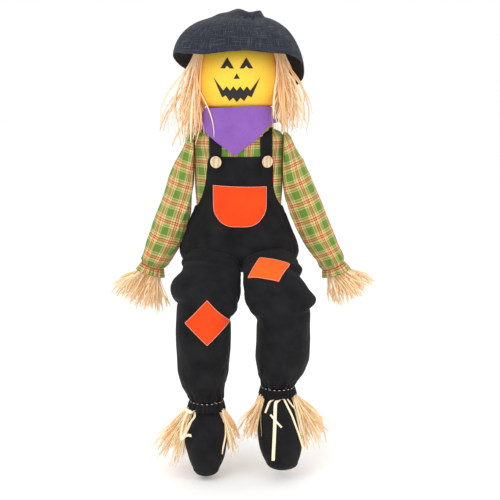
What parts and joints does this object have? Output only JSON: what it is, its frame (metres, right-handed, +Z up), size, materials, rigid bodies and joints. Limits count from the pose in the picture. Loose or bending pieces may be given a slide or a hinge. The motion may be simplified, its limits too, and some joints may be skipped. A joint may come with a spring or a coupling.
{
  "type": "sitting scarecrow figure",
  "caption": "Stuffed cloth scarecrow doll that sits on a seat edge: plaid shirt, bib overalls, drooping hat, raffia hair, hands and ankles, and limbs that swing at sewn joints.",
  "frame": {"origin": "middle of the flat underside of the hips, where the figure rests on its seat", "axes": "+Z up, -Y the way the face looks, +X to the right of somebody who faces the figure"},
  "size_m": [0.7167, 0.4373, 1.179],
  "materials": {
    "stuffing": "loose polyester fibre fill",
    "plaid_cotton": "woven check, matt",
    "black_twill": "plain weave, matt",
    "orange_felt": "pressed felt, matt",
    "purple_felt": "pressed felt, matt",
    "yellow_cloth": "smooth brushed cloth",
    "face_print": "printed, matt",
    "hat_cloth": "slubbed weave, matt",
    "button_wood": "turned, unvarnished",
    "hair_raffia": "flat raffia strands, slight shine",
    "straw_raffia": "flat raffia strands, slight shine",
    "elastic": "covered elastic thread",
    "boot_cloth": "plain weave, matt"
  },
  "bodies": {
    "torso": {"torso_stuffing": "stuffing", "neck_stuffing": "stuffing", "shirt_body": "plaid_cotton", "overalls_seat": "black_twill", "overalls_bib": "black_twill", "bib_pocket": "orange_felt", "strap_left": "black_twill", "strap_right": "black_twill", "button_left": "button_wood", "button_right": "button_wood", "neckerchief": "purple_felt", "neckerchief_knot": "purple_felt"},
    "head": {"head_stuffing": "stuffing", "head_cover": "yellow_cloth", "eye_left": "face_print", "eye_right": "face_print", "nose": "face_print", "mouth": "face_print", "hair_left": "hair_raffia", "hair_right": "hair_raffia", "hat_brim": "hat_cloth", "hat_crown": "hat_cloth"},
    "arm_left": {"arm_stuffing_left": "stuffing", "sleeve_left": "plaid_cotton", "wrist_elastic_left": "elastic", "sleeve_frill_left": "plaid_cotton", "hand_raffia_left": "straw_raffia"},
    "thigh_left": {"thigh_stuffing_left": "stuffing", "trouser_leg_left": "black_twill"},
    "shin_left": {"shin_stuffing_left": "stuffing", "ankle_elastic_left": "elastic", "trouser_frill_left": "black_twill", "ankle_raffia_left_outer": "straw_raffia", "ankle_raffia_left_inner": "straw_raffia", "patch_left_knee": "orange_felt"},
    "foot_left": {"boot_stuffing_left": "stuffing", "boot_left": "boot_cloth"},
    "arm_right": {"arm_stuffing_right": "stuffing", "sleeve_right": "plaid_cotton", "wrist_elastic_right": "elastic", "sleeve_frill_right": "plaid_cotton", "hand_raffia_right": "straw_raffia"},
    "thigh_right": {"thigh_stuffing_right": "stuffing", "trouser_leg_right": "black_twill", "patch_right_thigh": "orange_felt"},
    "shin_right": {"shin_stuffing_right": "stuffing", "ankle_elastic_right": "elastic", "trouser_frill_right": "black_twill", "ankle_raffia_right_outer": "straw_raffia", "ankle_raffia_right_inner": "straw_raffia"},
    "foot_right": {"boot_stuffing_right": "stuffing", "boot_right": "boot_cloth"}
  },
  "joints": [
    {"name": "neck_nod", "type": "hinge", "parent": "torso", "child": "head", "pos_m": [0, 0.008, 0.405], "axis": [1, 0, 0], "range_deg": [-15, 15], "deforming": ["neck_stuffing", "neckerchief", "hair_left", "hair_right"]},
    {"name": "shoulder_left", "type": "hinge", "parent": "torso", "child": "arm_left", "pos_m": [-0.126, 0, 0.338], "axis": [1, 0, 0], "range_deg": [-85, 40]},
    {"name": "hip_left", "type": "hinge", "parent": "torso", "child": "thigh_left", "pos_m": [-0.08, -0.104, 0.034], "axis": [1, 0, 0], "range_deg": [-45, 38], "deforming": ["trouser_leg_left"]},
    {"name": "knee_left", "type": "hinge", "parent": "thigh_left", "child": "shin_left", "pos_m": [-0.08422, -0.20474, -0.06168], "axis": [1, 0, 0], "range_deg": [-45, 35], "deforming": ["trouser_leg_left", "patch_left_knee"]},
    {"name": "ankle_left", "type": "hinge", "parent": "shin_left", "child": "foot_left", "pos_m": [-0.08422, -0.20474, -0.30668], "axis": [1, 0, 0], "range_deg": [-10, 17]},
    {"name": "shoulder_right", "type": "hinge", "parent": "torso", "child": "arm_right", "pos_m": [0.126, 0, 0.338], "axis": [1, 0, 0], "range_deg": [-85, 40]},
    {"name": "hip_right", "type": "hinge", "parent": "torso", "child": "thigh_right", "pos_m": [0.09, -0.104, 0.034], "axis": [1, 0, 0], "range_deg": [-45, 45], "deforming": ["trouser_leg_right", "patch_right_thigh"]},
    {"name": "knee_right", "type": "hinge", "parent": "thigh_right", "child": "shin_right", "pos_m": [0.10231, -0.20428, -0.02792], "axis": [1, 0, 0], "range_deg": [-55, 30], "deforming": ["trouser_leg_right", "patch_right_thigh"]},
    {"name": "ankle_right", "type": "hinge", "parent": "shin_right", "child": "foot_right", "pos_m": [0.10231, -0.20428, -0.26892], "axis": [1, 0, 0], "range_deg": [-10, 17]}
  ]
}
